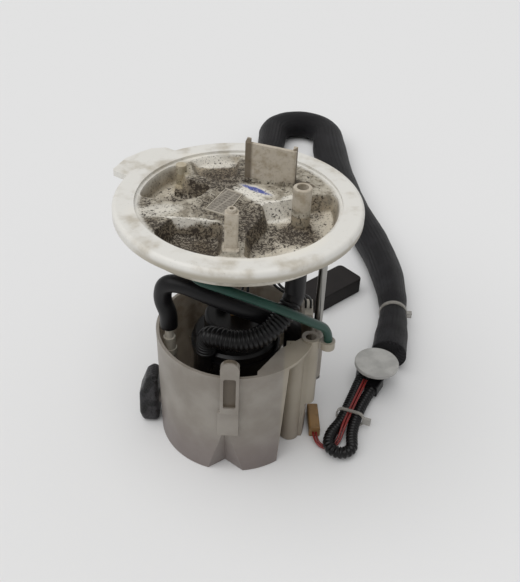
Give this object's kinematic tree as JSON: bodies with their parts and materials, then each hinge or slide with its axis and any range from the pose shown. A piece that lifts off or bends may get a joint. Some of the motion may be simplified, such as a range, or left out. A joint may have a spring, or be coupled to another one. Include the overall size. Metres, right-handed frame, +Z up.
{
  "type": "in-tank fuel pump module",
  "caption": "In-tank fuel pump module: flange lid on sprung guide rods over a reservoir pot with pump, level float and a sleeved transfer line.",
  "frame": {"origin": "centre of the reservoir's foot on the tank floor, under the lid's axis", "axes": "+Z up along the lid's axis and the guide rods, +X to the level sender's side, +Y towards the transfer line's fold"},
  "size_m": [0.2004, 0.488, 0.1844],
  "materials": {
    "lid_plastic": "satin",
    "pot_plastic": "satin",
    "white_plastic": "satin",
    "grey_plastic": "matte",
    "black_plastic": "satin",
    "brown_plastic": "gloss",
    "clear_tie": "gloss",
    "green_tube": "gloss",
    "black_rubber": "matte",
    "float_rubber": "matte",
    "woven_black": "matte",
    "woven_white": "matte",
    "steel": "satin",
    "case_metal": "satin",
    "tin_brass": "satin",
    "ferrite": "matte",
    "red_insulation": "gloss",
    "black_insulation": "gloss"
  },
  "bodies": {
    "reservoir": {"rod_spring": "steel", "reservoir_pot": "pot_plastic", "foot_valve": "black_rubber", "filter_canister": "white_plastic", "pump_case": "case_metal", "pump_inlet_cap": "black_plastic", "pump_outlet_cap": "brown_plastic", "pump_magnets": "ferrite", "pump_isolators": "black_rubber", "pump_strainer": "woven_white", "pump_plug": "brown_plastic", "pressure_regulator": "case_metal", "jet_pump": "grey_plastic", "return_hose": "black_rubber", "supply_hose": "black_plastic", "outlet_cuff": "black_rubber", "drain_tube": "green_tube", "pump_wires": "black_insulation", "sender_wires": "black_insulation", "sender_housing": "grey_plastic", "sender_card": "ferrite", "suction_sock": "woven_black", "transfer_sleeve": "woven_black", "corrugated_line": "black_plastic", "line_coupler": "black_rubber", "pickup_foot": "black_plastic", "pickup_disc": "grey_plastic", "sleeve_tie": "clear_tie", "line_tie": "clear_tie", "level_plug": "brown_plastic", "red_wire_left": "red_insulation", "red_wire_right": "red_insulation"},
    "flange_lid": {"lid": "lid_plastic", "lid_terminals": "tin_brass", "lid_plug": "white_plastic", "guide_rod_right": "steel", "guide_rod_rear": "steel", "guide_rod_clips": "steel"},
    "level_arm": {"sender_hub": "white_plastic", "float_arm": "steel", "float": "float_rubber"},
    "pump_rotor": {"pump_armature": "steel", "pump_impeller": "black_plastic"}
  },
  "joints": [
    {"name": "lid_travel", "type": "slide", "parent": "reservoir", "child": "flange_lid", "axis": [0, 0, 1], "range_m": [-0.025, 0], "stiffness_N_per_m": 250, "springref_m": 0.05, "deforming": ["rod_spring", "supply_hose", "outlet_cuff", "drain_tube", "pump_wires", "sender_wires"]},
    {"name": "float_swing", "type": "hinge", "parent": "reservoir", "child": "level_arm", "pos_m": [0.0484, 0.024, 0.058], "axis": [1, 0, 0], "range_deg": [0, 60]},
    {"name": "rotor_spin", "type": "hinge", "parent": "reservoir", "child": "pump_rotor", "pos_m": [0, 0.003, 0.045], "axis": [0, 0, 1], "continuous": true}
  ]
}
